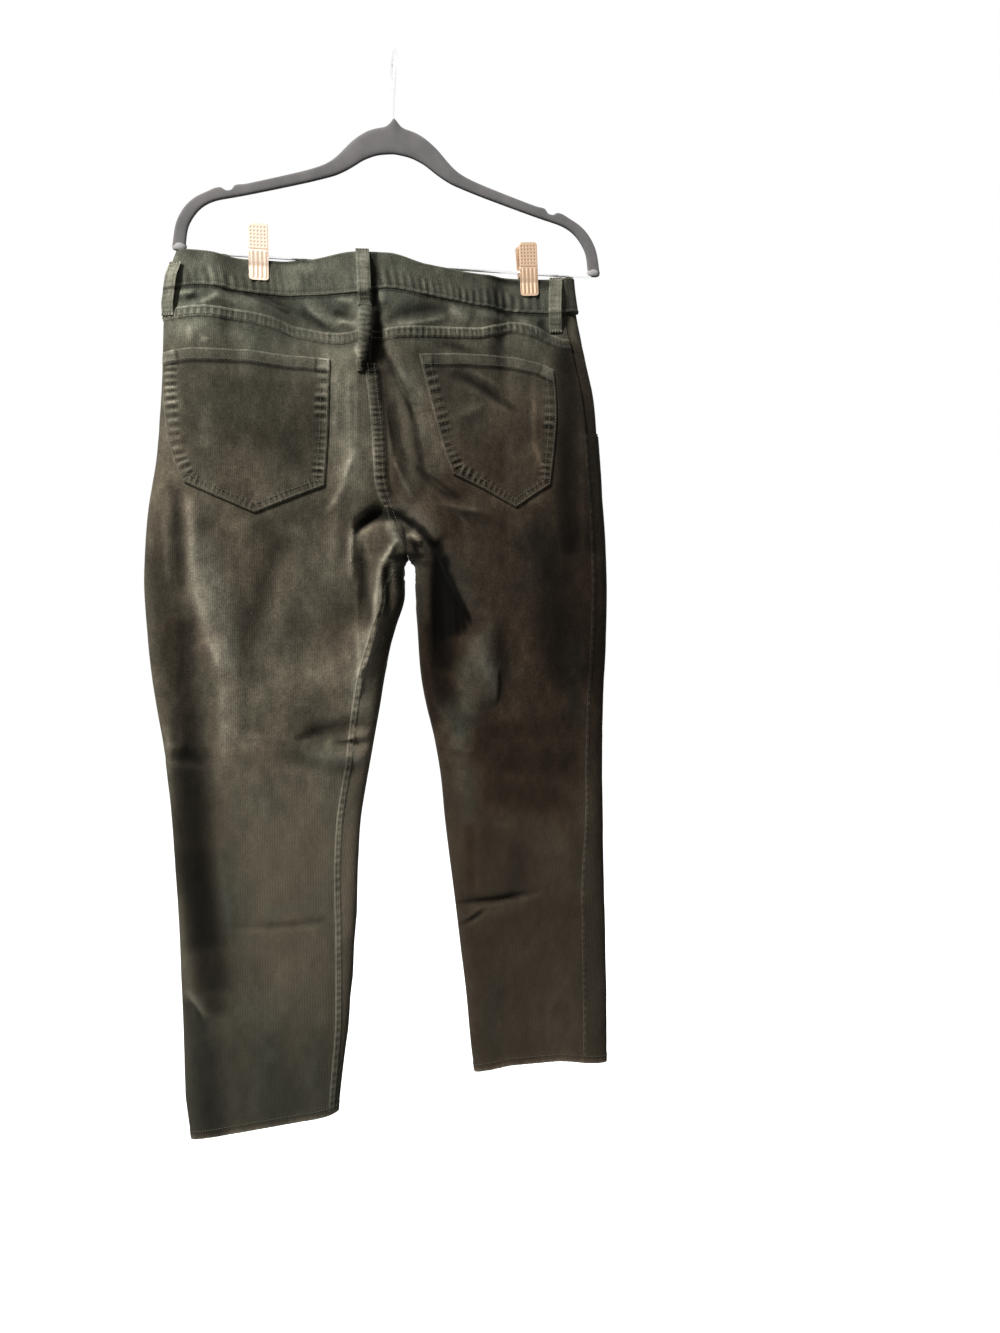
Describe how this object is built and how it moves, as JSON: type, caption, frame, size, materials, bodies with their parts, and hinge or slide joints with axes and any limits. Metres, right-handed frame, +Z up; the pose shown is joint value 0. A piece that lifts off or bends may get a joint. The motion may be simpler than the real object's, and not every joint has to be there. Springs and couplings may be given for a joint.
{
  "type": "corduroy trousers and clip hanger",
  "caption": "Five-pocket corduroy trousers clipped by the waistband to a slim hanger, hanging open at waist and hems.",
  "frame": {"origin": "inner crest of the hanger's hook, where it hangs on a rod", "axes": "+Z up, -Y out of the seat of the trousers, +X to the right as seen from behind"},
  "size_m": [0.5264, 0.0734, 1.1816],
  "materials": {
    "corduroy": "ribbed pile, matt",
    "facing_cloth": "ribbed pile, matt",
    "antique_brass": "aged",
    "grey_velvet": "flocked velvet",
    "chrome": "polished",
    "rose_gold": "rose gold plate"
  },
  "bodies": {
    "root": {"back_leg_left": "corduroy", "back_leg_right": "corduroy", "front_leg_left": "corduroy", "front_leg_right": "corduroy", "back_yoke_left": "corduroy", "back_yoke_right": "corduroy", "back_pocket_left": "corduroy", "back_pocket_right": "corduroy", "pocket_facing_left": "facing_cloth", "pocket_facing_right": "facing_cloth", "fly_placket": "corduroy", "waistband": "corduroy", "belt_loop_centre_back": "corduroy", "belt_loop_left_side": "corduroy", "belt_loop_right_side": "corduroy", "belt_loop_left_front": "corduroy", "belt_loop_right_front": "corduroy", "waist_button": "antique_brass", "hanger_body": "grey_velvet", "hanger_bar": "chrome", "hanger_hook": "chrome", "clip_left_back_jaw": "rose_gold", "clip_left_front_jaw": "rose_gold", "clip_left_spring": "chrome", "clip_right_back_jaw": "rose_gold", "clip_right_front_jaw": "rose_gold", "clip_right_spring": "chrome"}
  },
  "joints": []
}
